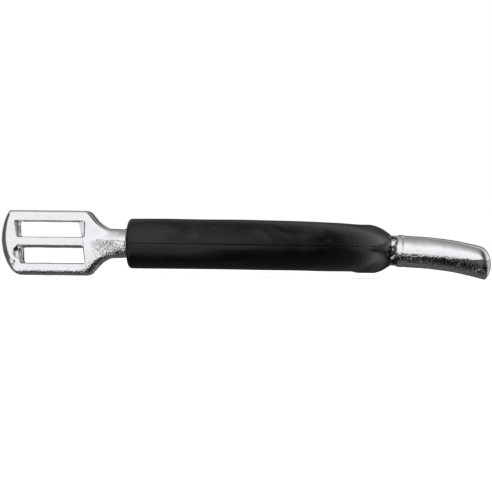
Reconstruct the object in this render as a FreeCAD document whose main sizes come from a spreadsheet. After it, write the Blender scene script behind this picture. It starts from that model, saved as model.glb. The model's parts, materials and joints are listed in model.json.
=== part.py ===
import FreeCAD, Part
import math
import os

import Sketcher

# A riding spur: a U-shaped heel band bent from round steel bar, a slotted strap end brazed on each
# arm, a blunt drooping neck tenoned through the crown of the band, and a rubber cover moulded over
# the band. The tips of the arms point along -X, the neck along +X, and +Z is up. The spur rests on
# the lower edges of its strap ends and on the tip of its neck, with the origin under its middle.

SIZES = [
    # heel band
    ("bar_dia", 6.6, "round bar that the band is bent from"),
    ("bow_radius", 38.0, "radius of the bar's centreline round the heel"),
    ("bow_centre", -7.17, "x of the centre of that radius"),
    ("toe_angle", 8.5, "how far each arm closes in towards its tip, in degrees"),
    ("arm_run", 50.3, "from the tip of a strap end back to where the bow begins"),
    ("joint_run", 38.4, "from the tip of a strap end back to its brazed joint"),
    # strap ends, measured back from the tip and up from the ground
    ("plate_high", 16.5, "height of the slotted plate"),
    ("plate_thick", 4.6, "thickness of the slotted plate"),
    ("plate_round", 1.4, "rounding along the edges of the plate"),
    ("tip_radius", 12.5, "bow of the tip, seen from the side"),
    ("tip_middle", 8.9, "height of the foremost point of the tip"),
    ("low_corner", 4.2, "radius between the tip and the lower edge"),
    ("top_corner", 2.0, "radius between the tip and the upper edge"),
    ("shoulder_run", 22.0, "where the shoulders begin"),
    ("shoulder_radius", 1.9, "rounding at the start of a shoulder"),
    ("shoulder_slope", 49.0, "slope of a shoulder, in degrees"),
    ("flare_radius", 8.0, "hollow radius where a shoulder flares into the arm"),
    ("flare_sunk", 0.1, "how far under the surface of the arm the flare ends"),
    ("nose_run", 22.6, "front end of the cone that joins the arm to the plate"),
    ("nose_dia", 3.8, "diameter of the cone's front end"),
    ("cone_end", 27.0, "where the cone has grown to the full bar"),
    ("slot_long", 17.8, "length of a strap slot"),
    ("slot_high", 4.2, "height of a strap slot"),
    ("slot_rake", 0.6, "how far the ends of a slot lean back over its height"),
    ("lower_rail", 2.9, "height of the rail under the lower slot"),
    ("bridge_high", 2.65, "height of the bar between the slots"),
    ("upper_slot_run", 3.5, "front end of the upper slot"),
    ("lower_slot_run", 4.4, "front end of the lower slot"),
    ("slot_corner", 0.5, "rounding in the corners of a slot"),
    ("strap_tenon_dia", 3.5, "tenon that is brazed into the end of the band"),
    ("strap_tenon_long", 8.0, "its length"),
    # neck, measured from the centre of the bar at the crown of the band
    ("neck_dia", 8.1, "diameter of the neck"),
    ("waist_dia", 7.7, "diameter of the neck where it leaves the cover"),
    ("waist_end", 7.85, "where the waist ends in the shoulder ring"),
    ("root_drop", 0.52, "how far the neck's axis passes under the centre of the bar"),
    ("root_slope", 3.7, "slope of the neck at its root, in degrees"),
    ("neck_straight", 16.4, "length of the straight part at the root"),
    ("droop_radius", 56.0, "radius of the droop"),
    ("end_slope", 14.0, "slope of the neck at its end, in degrees"),
    ("end_straight", 8.0, "length swept past the droop, before the end is domed"),
    ("dome_radius", 6.0, "radius of the domed end"),
    ("dome_run", 25.85, "x of the dome's centre"),
    ("dome_drop", 4.35, "how far the dome's centre lies under the centre of the bar"),
    ("end_round", 0.4, "rounding of the edge round the dome"),
    ("neck_tenon_dia", 4.0, "tenon that passes through the band"),
    # rubber cover
    ("cover_dia", 12.5, "outer diameter of the cover"),
    ("cover_start", 32.8, "from the tip of a strap end back to the mouth of the cover"),
    ("cover_lip", 1.0, "rounding of the mouths"),
    ("boss_dia", 8.8, "moulded boss round the neck"),
    ("boss_reach", 6.0, "end of the boss, from the centre of the bar"),
    ("boss_drop", 0.95, "how far the boss lies under the centre of the bar"),
]

BAND_HIGH = "sizes.plate_high / 2"
BAR_RADIUS = "sizes.bar_dia / 2"
BOW_END_X = "(-sizes.bow_radius * sin(sizes.toe_angle))"
BOW_END_Y = "(sizes.bow_radius * cos(sizes.toe_angle))"

doc = FreeCAD.newDocument("riding_spur")


def fill_sheet():
    """Write the driving dimensions into a sheet, one row each."""
    sheet = doc.addObject("Spreadsheet::Sheet", "sizes")
    for row, (alias, size, meaning) in enumerate(SIZES, start=1):
        sheet.set(f"A{row}", meaning)
        sheet.set(f"B{row}", str(size))
        sheet.setAlias(f"B{row}", alias)
    doc.recompute()
    return sheet


sizes = fill_sheet()


def value_of(formula):
    """Return what a formula in the sheet's words comes to now."""
    result = sizes.evalExpression(formula)
    return float(getattr(result, "Value", result))


# ---------------------------------------------------------------- sketch helpers


def new_body(label, place=("0", "0", "0"), turn=None):
    """Make a body whose place, and turn about Z in degrees, follow the sheet."""
    body = doc.addObject("PartDesign::Body", label)
    body.Label = label
    if turn:
        body.Placement.Rotation = FreeCAD.Rotation(FreeCAD.Vector(0, 0, 1), value_of(turn))
        body.setExpression("Placement.Rotation.Angle", turn)
    for axis, formula in zip("xyz", place):
        body.setExpression(f"Placement.Base.{axis}", formula)
    return body


def new_sketch(body, name, role, shift=("0", "0", "0"), turn_axis=None, turn="0"):
    """Lay a sketch on one of the body's origin planes, moved and turned in that plane's own axes."""
    sketch = body.newObject("Sketcher::SketchObject", name)
    plane = next(item for item in body.Origin.OriginFeatures if item.Role == role)
    sketch.AttachmentSupport = [(plane, "")]
    sketch.MapMode = "FlatFace"
    if turn_axis:
        sketch.AttachmentOffset = FreeCAD.Placement(
            FreeCAD.Vector(), FreeCAD.Rotation(turn_axis, value_of(turn)))
        sketch.setExpression("AttachmentOffset.Rotation.Angle", turn)
    for axis, formula in zip("xyz", shift):
        sketch.setExpression(f"AttachmentOffset.Base.{axis}", formula)
    return sketch


def bind(sketch, constraint, formula):
    """Add a dimension to a sketch and tie it to the sheet."""
    number = sketch.addConstraint(constraint)
    sketch.setExpression(f"Constraints[{number}]", formula)


def pin(sketch, edge, end, x, y):
    """Fix one end of an edge at a place given by two formulas."""
    bind(sketch, Sketcher.Constraint("DistanceX", -1, 1, edge, end, value_of(x)), x)
    bind(sketch, Sketcher.Constraint("DistanceY", -1, 1, edge, end, value_of(y)), y)


def arc_between(start, finish, radius):
    """Return the short arc, counter-clockwise from start to finish."""
    chord = finish - start
    rise = math.sqrt(radius ** 2 - (chord.Length / 2) ** 2)
    left = FreeCAD.Vector(-chord.y, chord.x, 0).normalize()
    centre = (start + finish) / 2 + left * rise
    angles = [math.atan2(point.y - centre.y, point.x - centre.x) for point in (start, finish)]
    return Part.ArcOfCircle(Part.Circle(centre, FreeCAD.Vector(0, 0, 1), radius), *angles)


def draw_outline(sketch, corners, closed=True):
    """Draw an outline through corners (x, y, edge), counter-clockwise.

    The third word says which edge leaves the corner: "" for a straight one, "out RADIUS" for an
    arc that bulges outwards and "in RADIUS" for one that is hollow.
    """
    points = [FreeCAD.Vector(value_of(x), value_of(y), 0) for x, y, _ in corners]
    count = len(corners) if closed else len(corners) - 1
    ends = []
    for index in range(count):
        here = points[index]
        there = points[(index + 1) % len(points)]
        way, _, radius = corners[index][2].partition(" ")
        if way == "":
            edge = sketch.addGeometry(Part.LineSegment(here, there), False)
            ends.append((edge, 1, 2))
        elif way == "out":
            edge = sketch.addGeometry(arc_between(here, there, value_of(radius)), False)
            ends.append((edge, 1, 2))
        else:
            edge = sketch.addGeometry(arc_between(there, here, value_of(radius)), False)
            ends.append((edge, 2, 1))
        pin(sketch, edge, ends[-1][1], corners[index][0], corners[index][1])
        if way:
            bind(sketch, Sketcher.Constraint("Radius", edge, value_of(radius)), radius)
    for index in range(count if closed else count - 1):
        edge, _, last = ends[index]
        following, first, _ = ends[(index + 1) % count]
        sketch.addConstraint(Sketcher.Constraint("Coincident", edge, last, following, first))
    if not closed:
        edge, _, last = ends[-1]
        pin(sketch, edge, last, corners[-1][0], corners[-1][1])


def draw_circle(sketch, diameter):
    """Draw a circle round the sketch's own origin."""
    circle = Part.Circle(FreeCAD.Vector(), FreeCAD.Vector(0, 0, 1), value_of(diameter) / 2)
    edge = sketch.addGeometry(circle, False)
    sketch.addConstraint(Sketcher.Constraint("Coincident", edge, 3, -1, 1))
    bind(sketch, Sketcher.Constraint("Diameter", edge, value_of(diameter)), diameter)


# ---------------------------------------------------------------- feature helpers


def spin(body, kind, name, sketch, axis):
    """Turn a sketch a full turn round one of its axes, to add or to cut."""
    doc.recompute()
    feature = body.newObject(kind, name)
    feature.Profile = sketch
    feature.ReferenceAxis = (sketch, [axis])
    feature.Angle = 360
    doc.recompute()
    return feature


def sweep(body, kind, name, profile, spine):
    """Sweep a profile along a spine, to add or to cut."""
    doc.recompute()
    feature = body.newObject(kind, name)
    feature.Profile = profile
    feature.Spine = (spine, [])
    feature.Transition = "Right corner"
    doc.recompute()
    return feature


def bow_spine(body, name, straight):
    """Draw the band's centreline: an arm, the bow round the heel, and the other arm."""
    sketch = new_sketch(body, name, "XY_Plane")
    arm_x = f"({BOW_END_X} - ({straight}) * cos(sizes.toe_angle))"
    arm_y = f"({BOW_END_Y} - ({straight}) * sin(sizes.toe_angle))"
    half_turn = math.radians(90 + value_of("sizes.toe_angle"))
    bow = Part.Circle(FreeCAD.Vector(), FreeCAD.Vector(0, 0, 1), value_of("sizes.bow_radius"))
    places = [(arm_x, f"-{arm_y}"), (BOW_END_X, f"-{BOW_END_Y}"),
              (BOW_END_X, BOW_END_Y), (arm_x, arm_y)]
    points = [FreeCAD.Vector(value_of(x), value_of(y), 0) for x, y in places]
    left_arm = sketch.addGeometry(Part.LineSegment(points[0], points[1]), False)
    middle = sketch.addGeometry(Part.ArcOfCircle(bow, -half_turn, half_turn), False)
    right_arm = sketch.addGeometry(Part.LineSegment(points[2], points[3]), False)
    bind(sketch, Sketcher.Constraint("Radius", middle, bow.Radius), "sizes.bow_radius")
    sketch.addConstraint(Sketcher.Constraint("Coincident", left_arm, 2, middle, 1))
    sketch.addConstraint(Sketcher.Constraint("Coincident", middle, 2, right_arm, 1))
    pin(sketch, left_arm, 1, *places[0])
    pin(sketch, left_arm, 2, *places[1])
    pin(sketch, right_arm, 1, *places[2])
    pin(sketch, right_arm, 2, *places[3])
    return sketch


def bow_section(body, name, straight, diameter):
    """Draw the round section at the front end of the left arm, square to it."""
    shift = (f"-({BOW_END_Y} - ({straight}) * sin(sizes.toe_angle))", "0",
             f"{BOW_END_X} - ({straight}) * cos(sizes.toe_angle)")
    sketch = new_sketch(body, name, "YZ_Plane", shift, FreeCAD.Vector(0, 1, 0), "-sizes.toe_angle")
    draw_circle(sketch, diameter)
    return sketch


def bow_tube(body, kind, name, straight, diameter):
    """Add or cut a round tube along the band's centreline."""
    section = bow_section(body, name + "_section", straight, diameter)
    spine = bow_spine(body, name + "_spine", straight)
    return sweep(body, kind, name, section, spine)


def waist_sketch(body, name, crown_x, start, finish, radius):
    """Draw half of the neck's waist, on the neck's own sloping axis."""
    shift = (crown_x, "-sizes.root_drop", "0")
    sketch = new_sketch(body, name, "XZ_Plane", shift, FreeCAD.Vector(0, 0, 1), "-sizes.root_slope")
    draw_outline(sketch, [(start, "0", ""), (finish, "0", ""), (finish, radius, ""), (start, radius, "")])
    return sketch


def round_edges(body, name, edges, radius):
    """Round the edges of the body's last feature that a test picks out."""
    tip = body.Tip
    names = [f"Edge{number}" for number, edge in enumerate(tip.Shape.Edges, start=1) if edges(edge)]
    fillet = body.newObject("PartDesign::Fillet", name)
    fillet.Base = (tip, names)
    fillet.setExpression("Radius", radius)
    doc.recompute()
    return fillet


# ---------------------------------------------------------------- sub-parts


def make_heel_band():
    """Bend the bar into a U, bore its ends for the strap ends and its crown for the neck."""
    body = new_body("heel_band", ("sizes.bow_centre", "0", BAND_HIGH))
    straight = "sizes.arm_run - sizes.joint_run"
    bow_tube(body, "PartDesign::AdditivePipe", "bar", straight, "sizes.bar_dia")
    mouth = bow_section(body, "end_bore_circle", straight, "sizes.strap_tenon_dia")
    bore = body.newObject("PartDesign::Pocket", "end_bore")
    bore.Profile = mouth
    bore.Reversed = True
    bore.setExpression("Length", "sizes.strap_tenon_long")
    doc.recompute()
    other_bore = body.newObject("PartDesign::Mirrored", "other_end_bore")
    other_bore.Originals = [bore]
    mirror_plane = next(item for item in body.Origin.OriginFeatures if item.Role == "XZ_Plane")
    other_bore.MirrorPlane = (mirror_plane, [""])
    body.Tip = other_bore
    doc.recompute()
    hole_circle = new_sketch(body, "neck_hole_circle", "YZ_Plane")
    draw_circle(hole_circle, "sizes.neck_tenon_dia")
    hole = body.newObject("PartDesign::Pocket", "neck_hole")
    hole.Profile = hole_circle
    hole.Type = "ThroughAll"
    hole.Reversed = True
    doc.recompute()
    return body


def corner_between_tip_and_edge(edge_high, radius, inward):
    """Return where a corner of the plate leaves a level edge and where it meets the bowed tip."""
    middle = f"({edge_high} + {inward} * {radius})"
    reach = f"(sizes.tip_radius - {radius})"
    centre_x = f"(sizes.tip_radius - sqrt({reach} ^ 2 - ({middle} - sizes.tip_middle) ^ 2))"
    share = f"(sizes.tip_radius / {reach})"
    tip_x = f"sizes.tip_radius - (sizes.tip_radius - {centre_x}) * {share}"
    tip_z = f"sizes.tip_middle + ({middle} - sizes.tip_middle) * {share}"
    return (centre_x, edge_high), (tip_x, tip_z)


def shoulder_drops():
    """Return, as (run, drop) from the plate's edge, the places where a shoulder changes its bend."""
    slope = "sizes.shoulder_slope"
    turned = ("(sizes.shoulder_run + sizes.shoulder_radius * sin(sizes.shoulder_slope))",
              f"(sizes.shoulder_radius * (1 - cos({slope})))")
    full_drop = f"({BAND_HIGH} - {BAR_RADIUS} + sizes.flare_sunk)"
    flare_rise = f"(sizes.flare_radius * (1 - cos({slope})))"
    flare = (f"({turned[0]} + ({full_drop} - {turned[1]} - {flare_rise}) / tan({slope}))",
             f"({full_drop} - {flare_rise})")
    sunk = (f"({flare[0]} + sizes.flare_radius * sin({slope}))", full_drop)
    return turned, flare, sunk


def plate_outline(body):
    """Draw the strap end from the side, up from the ground and back from its tip."""
    sketch = new_sketch(body, "plate_outline", "XZ_Plane")
    top = "sizes.plate_high"
    low_edge, low_tip = corner_between_tip_and_edge("0", "sizes.low_corner", 1)
    top_edge, top_tip = corner_between_tip_and_edge(top, "sizes.top_corner", -1)
    turned, flare, sunk = shoulder_drops()
    draw_outline(sketch, [
        (*low_edge, ""),
        ("sizes.shoulder_run", "0", "out sizes.shoulder_radius"),
        (*turned, ""),
        (*flare, "in sizes.flare_radius"),
        (*sunk, ""),
        (sunk[0], f"{top} - {sunk[1]}", "in sizes.flare_radius"),
        (flare[0], f"{top} - {flare[1]}", ""),
        (turned[0], f"{top} - {turned[1]}", "out sizes.shoulder_radius"),
        ("sizes.shoulder_run", top, ""),
        (*top_edge, "out sizes.top_corner"),
        (*top_tip, "out sizes.tip_radius"),
        (*low_tip, "out sizes.low_corner"),
    ])
    return sketch


def slot_outline(body, name, run, low):
    """Draw one raked strap slot."""
    sketch = new_sketch(body, name, "XZ_Plane")
    high = f"{low} + sizes.slot_high"
    draw_outline(sketch, [
        (f"{run} + sizes.slot_rake", low, ""),
        (f"{run} + sizes.slot_long", low, ""),
        (f"{run} + sizes.slot_long - sizes.slot_rake", high, ""),
        (run, high, ""),
    ])
    return sketch


def make_strap_end(side, sign):
    """Make a slotted strap end, its round arm and its tenon; sign is -1 on the left."""
    tip_x = f"sizes.bow_centre + {BOW_END_X} - sizes.arm_run * cos(sizes.toe_angle)"
    tip_y = f"{sign} * ({BOW_END_Y} - sizes.arm_run * sin(sizes.toe_angle))"
    body = new_body(f"strap_end_{side}", (tip_x, tip_y, "0"), f"{sign} * sizes.toe_angle")
    plate = body.newObject("PartDesign::Pad", "plate")
    plate.Profile = plate_outline(body)
    plate.Midplane = True
    plate.setExpression("Length", "sizes.plate_thick")
    doc.recompute()
    round_edges(body, "plate_rounding", is_plate_rim, "sizes.plate_round")
    arm_half = new_sketch(body, "arm_half", "XZ_Plane", ("0", BAND_HIGH, "0"))
    tenon_end = "sizes.joint_run + sizes.strap_tenon_long"
    draw_outline(arm_half, [
        ("sizes.nose_run", "0", ""),
        (tenon_end, "0", ""),
        (tenon_end, "sizes.strap_tenon_dia / 2", ""),
        ("sizes.joint_run", "sizes.strap_tenon_dia / 2", ""),
        ("sizes.joint_run", BAR_RADIUS, ""),
        ("sizes.cone_end", BAR_RADIUS, ""),
        ("sizes.nose_run", "sizes.nose_dia / 2", ""),
    ])
    spin(body, "PartDesign::Revolution", "arm", arm_half, "H_Axis")
    upper_low = "sizes.lower_rail + sizes.slot_high + sizes.bridge_high"
    slots = (("lower", "sizes.lower_slot_run", "sizes.lower_rail"),
             ("upper", "sizes.upper_slot_run", upper_low))
    for name, run, low in slots:
        slot = body.newObject("PartDesign::Pocket", f"{name}_slot")
        slot.Profile = slot_outline(body, f"{name}_slot_outline", run, low)
        slot.Midplane = True
        slot.Type = "ThroughAll"
        doc.recompute()
    round_edges(body, "slot_corners", is_slot_corner, "sizes.slot_corner")
    return body


def is_plate_rim(edge):
    """Say whether an edge runs round a flat side of the plate, short of the arm."""
    box = edge.BoundBox
    on_side = abs(abs(box.Center.y) - value_of("sizes.plate_thick") / 2) < 1e-6
    return on_side and box.XMin < value_of(shoulder_drops()[2][0]) - 1e-3


def is_slot_corner(edge):
    """Say whether an edge is one of the straight corners that run through a slot."""
    across = abs(edge.Length - value_of("sizes.plate_thick")) < 1e-4
    return across and abs(edge.tangentAt(edge.FirstParameter).y) > 0.999


def make_neck():
    """Turn the waist, sweep the drooping neck, dome its end, and cope its root to the band."""
    crown_x = "sizes.bow_centre + sizes.bow_radius"
    body = new_body("neck", (crown_x, "0", BAND_HIGH))
    waist = waist_sketch(body, "waist_half", "0", "0", "sizes.waist_end", "sizes.waist_dia / 2")
    spin(body, "PartDesign::Revolution", "waist", waist, "H_Axis")

    start_x = "(sizes.waist_end * cos(sizes.root_slope))"
    start_z = "(-sizes.root_drop - sizes.waist_end * sin(sizes.root_slope))"
    bend_x = "(sizes.neck_straight * cos(sizes.root_slope))"
    bend_z = "(-sizes.root_drop - sizes.neck_straight * sin(sizes.root_slope))"
    droop_x = f"({bend_x} + sizes.droop_radius * (sin(sizes.end_slope) - sin(sizes.root_slope)))"
    droop_z = f"({bend_z} - sizes.droop_radius * (cos(sizes.root_slope) - cos(sizes.end_slope)))"
    end_x = f"({droop_x} + sizes.end_straight * cos(sizes.end_slope))"
    end_z = f"({droop_z} - sizes.end_straight * sin(sizes.end_slope))"
    section = new_sketch(body, "neck_section", "YZ_Plane", ("0", start_z, start_x),
                         FreeCAD.Vector(1, 0, 0), "sizes.root_slope")
    draw_circle(section, "sizes.neck_dia")
    spine = new_sketch(body, "neck_spine", "XZ_Plane")
    draw_outline(spine, [
        (start_x, start_z, ""),
        (bend_x, bend_z, "in sizes.droop_radius"),
        (droop_x, droop_z, ""),
        (end_x, end_z, ""),
    ], closed=False)
    sweep(body, "PartDesign::AdditivePipe", "drooping_neck", section, spine)

    waste = new_sketch(body, "dome_waste", "XZ_Plane", ("sizes.dome_run", "-sizes.dome_drop", "0"))
    rim_x = "sizes.dome_radius * cos(60)"
    rim_z = "sizes.dome_radius * sin(60)"
    draw_outline(waste, [
        ("sizes.dome_radius", "0", ""),
        ("sizes.dome_radius * 2", "0", ""),
        ("sizes.dome_radius * 2", "sizes.dome_radius * 2", ""),
        (rim_x, "sizes.dome_radius * 2", ""),
        (rim_x, rim_z, "in sizes.dome_radius"),
    ])
    spin(body, "PartDesign::Groove", "domed_end", waste, "H_Axis")
    rim = value_of("sizes.dome_run") + value_of("sizes.dome_radius") / 2
    round_edges(body, "end_rounding", lambda edge: edge.BoundBox.XMin > rim, "sizes.end_round")

    bar_circle = new_sketch(body, "bar_circle", "XZ_Plane")
    draw_circle(bar_circle, "sizes.bar_dia")
    add_bow_axis(bar_circle)
    spin(body, "PartDesign::Groove", "cope", bar_circle, "Axis0")

    tenon_circle = new_sketch(body, "tenon_circle", "YZ_Plane")
    draw_circle(tenon_circle, "sizes.neck_tenon_dia")
    tenon = body.newObject("PartDesign::Pad", "tenon")
    tenon.Profile = tenon_circle
    tenon.Midplane = True
    tenon.setExpression("Length", "sizes.bar_dia * 1.2")
    doc.recompute()
    inboard = new_sketch(body, "inboard_of_bar", "XZ_Plane")
    draw_outline(inboard, [
        ("-sizes.bar_dia", f"-{BAR_RADIUS}", ""),
        ("0", f"-{BAR_RADIUS}", "in sizes.bar_dia / 2"),
        (f"-{BAR_RADIUS}", "0", "in sizes.bar_dia / 2"),
        ("0", BAR_RADIUS, ""),
        ("-sizes.bar_dia", BAR_RADIUS, ""),
    ])
    add_bow_axis(inboard)
    spin(body, "PartDesign::Groove", "flush_tenon", inboard, "Axis0")
    return body


def add_bow_axis(sketch):
    """Add the upright axis of the bow, as seen from the crown, for turning a sketch round it."""
    foot = FreeCAD.Vector(-value_of("sizes.bow_radius"), 0, 0)
    axis = sketch.addGeometry(Part.LineSegment(foot, foot + FreeCAD.Vector(0, 10, 0)), True)
    pin(sketch, axis, 1, "-sizes.bow_radius", "0")
    pin(sketch, axis, 2, "-sizes.bow_radius", "10")


def make_rubber_cover():
    """Mould a tube over the band, with a boss and a hole for the neck."""
    body = new_body("rubber_cover", ("sizes.bow_centre", "0", BAND_HIGH))
    covered = "sizes.arm_run - sizes.cover_start"
    bow_tube(body, "PartDesign::AdditivePipe", "skin", covered, "sizes.cover_dia")
    cover_radius = value_of("sizes.cover_dia / 2")
    round_edges(body, "mouth_lips", lambda edge: is_mouth(edge, cover_radius), "sizes.cover_lip")
    boss_circle = new_sketch(body, "boss_circle", "YZ_Plane",
                             ("0", "-sizes.boss_drop", "sizes.bow_radius"))
    draw_circle(boss_circle, "sizes.boss_dia")
    boss = body.newObject("PartDesign::Pad", "boss")
    boss.Profile = boss_circle
    boss.setExpression("Length", "sizes.boss_reach")
    doc.recompute()
    bow_tube(body, "PartDesign::SubtractivePipe", "tunnel", f"{covered} + sizes.bar_dia", "sizes.bar_dia")
    hole = waist_sketch(body, "neck_hole_half", "sizes.bow_radius", "0", "sizes.boss_reach * 2",
                        "sizes.waist_dia / 2")
    spin(body, "PartDesign::Groove", "neck_hole", hole, "H_Axis")
    return body


def is_mouth(edge, radius):
    """Say whether an edge is the circle round a mouth of the cover."""
    curve = edge.Curve
    return isinstance(curve, Part.Circle) and edge.isClosed() and abs(curve.Radius - radius) < 1e-6


# ---------------------------------------------------------------- build, check and export


def check_document(subparts):
    """Stop if any feature failed or any sub-part isn't one sound solid."""
    doc.recompute()
    for item in doc.Objects:
        if "Invalid" in item.State or "Error" in item.State:
            raise RuntimeError(f"{item.Label} failed: {item.State}")
    for item in subparts:
        shape = item.Shape
        if shape.isNull() or not shape.isValid() or len(shape.Solids) != 1:
            raise RuntimeError(f"{item.Label} isn't one sound solid")


def report_sizes(subparts):
    """Print each sub-part's box and volume, and the whole spur's box."""
    whole = FreeCAD.BoundBox()
    for item in subparts:
        box = item.Shape.BoundBox
        whole.add(box)
        print(f"{item.Label}: x {box.XMin:.2f} to {box.XMax:.2f}, y {box.YMin:.2f} to {box.YMax:.2f}, "
              f"z {box.ZMin:.2f} to {box.ZMax:.2f}, {item.Shape.Volume:.0f} mm3")
    print(f"spur: x {whole.XMin:.2f} to {whole.XMax:.2f}, y {whole.YMin:.2f} to {whole.YMax:.2f}, "
          f"z {whole.ZMin:.2f} to {whole.ZMax:.2f}")


def export_parts(subparts):
    """Write one STEP file for each sub-part, named after it."""
    os.makedirs("parts", exist_ok=True)
    for item in subparts:
        item.Shape.exportStep(f"parts/{item.Label}.step")


parts = [
    make_heel_band(),
    make_strap_end("left", -1),
    make_strap_end("right", 1),
    make_neck(),
    make_rubber_cover(),
]
check_document(parts)
report_sizes(parts)
export_parts(parts)
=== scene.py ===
# %% [markdown]
# # A blunt-necked riding spur
#
# A spur is worn on the heel of a riding boot. This one has four things to see: two
# slotted strap ends of bright metal, a U-shaped rubber cover over the heel band, and a
# short neck that droops behind the heel. This lesson builds each of them as a mesh,
# gives each a finish made of nodes, and lights them on a pale floor.
#
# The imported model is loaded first. It is a fixed frame: every length and place below
# starts from it, so the pieces fit without any nudging by hand.

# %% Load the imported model
import json
import math

import bmesh
import bpy
import numpy as np
from mathutils import Matrix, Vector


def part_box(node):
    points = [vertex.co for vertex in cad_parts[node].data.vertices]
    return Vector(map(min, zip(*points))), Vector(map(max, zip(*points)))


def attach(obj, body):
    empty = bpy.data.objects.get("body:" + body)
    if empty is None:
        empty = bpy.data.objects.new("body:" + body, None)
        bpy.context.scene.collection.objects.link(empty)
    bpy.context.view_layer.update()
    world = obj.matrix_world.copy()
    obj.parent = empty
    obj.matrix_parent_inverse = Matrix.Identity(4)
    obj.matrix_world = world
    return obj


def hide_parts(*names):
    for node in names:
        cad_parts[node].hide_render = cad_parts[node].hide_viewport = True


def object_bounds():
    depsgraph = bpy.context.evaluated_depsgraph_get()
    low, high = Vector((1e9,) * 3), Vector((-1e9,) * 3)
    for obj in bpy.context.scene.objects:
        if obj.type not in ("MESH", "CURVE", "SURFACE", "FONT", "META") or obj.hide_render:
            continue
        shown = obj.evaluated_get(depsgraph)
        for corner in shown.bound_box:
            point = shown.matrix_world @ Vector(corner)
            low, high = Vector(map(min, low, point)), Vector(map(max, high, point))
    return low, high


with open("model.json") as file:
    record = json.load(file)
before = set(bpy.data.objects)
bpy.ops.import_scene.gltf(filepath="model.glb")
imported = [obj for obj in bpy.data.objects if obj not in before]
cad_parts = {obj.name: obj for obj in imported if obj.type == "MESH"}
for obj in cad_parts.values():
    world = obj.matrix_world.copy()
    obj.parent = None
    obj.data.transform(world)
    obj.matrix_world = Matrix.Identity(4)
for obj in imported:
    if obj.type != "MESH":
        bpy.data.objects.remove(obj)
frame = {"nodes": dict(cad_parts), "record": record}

MM = 0.001
CAD_LOW, CAD_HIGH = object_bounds()
MOUNTS = {mount["name"]: mount for mount in frame["record"]["mounts"]}
print("nodes:", sorted(frame["nodes"]))
print("box, mm:", [round(v / MM, 2) for v in (*CAD_LOW, *CAD_HIGH)])

# %% [markdown]
# ## The measures that the frame gives
#
# The spur is a bent bar. Its band is half a circle, and two straight arms run forward
# from it, turned a few degrees inward at the toe. The bar's thickness is the height of
# the band's box, and the angle of the arms is in the direction of the strap slots.
# Reading these from the frame, rather than typing them again, keeps one source for each.

# %% Read the bar, the bow and the arms
band_low, band_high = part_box("heel_band")
cover_low, cover_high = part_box("rubber_cover")
left_low, left_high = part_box("strap_end_left")

BAR_RADIUS = (band_high.z - band_low.z) / 2 / MM
COVER_RADIUS = round((cover_high.z - cover_low.z) / 2 / MM, 2)
MID_HIGH = (cover_high.z + cover_low.z) / 2 / MM
BOW_RADIUS = cover_high.y / MM - COVER_RADIUS
CROWN_X = band_high.x / MM - BAR_RADIUS
BOW_X = CROWN_X - BOW_RADIUS

slot_axis = MOUNTS["upper_slot_left"]["axis"]
TOE_ANGLE = math.asin(-slot_axis[0])
print(f"bar radius {BAR_RADIUS:.2f}, cover radius {COVER_RADIUS:.2f}, bow radius {BOW_RADIUS:.2f} mm")
print(f"crown at x {CROWN_X:.2f}, middle height {MID_HIGH:.2f} mm")
print(f"the arms turn in by {math.degrees(TOE_ANGLE):.1f} degrees")
print(f"the left strap end is {(left_high.x - left_low.x) / MM:.1f} mm long")

# %% Find the tip of the left strap end, and its own directions
SLOT_MIDDLE_RUN = 12.4
ALONG = np.array([math.cos(TOE_ANGLE), -math.sin(TOE_ANGLE), 0.0])
OUTWARD = np.array([-math.sin(TOE_ANGLE), -math.cos(TOE_ANGLE), 0.0])
slot_middle = np.array(MOUNTS["upper_slot_left"]["pos_m"]) / MM
TIP = slot_middle - SLOT_MIDDLE_RUN * ALONG
TIP[2] = 0.0
print("left tip, mm:", TIP.round(2))

# %% [markdown]
# ## A helper: a skin over a formula
#
# Cast and polished metal has soft edges everywhere. Such a shape is easy to say as a
# formula that gives, for any point, how far it is outside the metal: negative inside,
# zero on the surface. Adding metal is the smaller of two such distances, cutting is the
# larger, and a rounded smaller or larger leaves a fillet, as a file or a buff does.
#
# To turn the formula into a mesh, space is divided into small cells. Each cell that the
# surface crosses gets one point, and each crossed edge between cells gets one
# four-sided face. This way is called surface nets. The points are then evened out and
# slid along the slope of the formula until they lie exactly on the surface.

# %% Rounded smaller and larger
def soft_least(a, b, radius):
    """Join two shapes with a fillet."""
    share = np.clip(0.5 + 0.5 * (b - a) / radius, 0, 1)
    return b + (a - b) * share - radius * share * (1 - share)


def soft_most(a, b, radius):
    """Cut one shape by another and leave a rounded edge."""
    return -soft_least(-a, -b, radius)


def round_corner(a, b, radius):
    """The space inside both a and b, with a true quarter-round edge."""
    beyond = np.hypot(np.maximum(a + radius, 0), np.maximum(b + radius, 0))
    return np.minimum(np.maximum(a, b), -radius) + beyond


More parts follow.
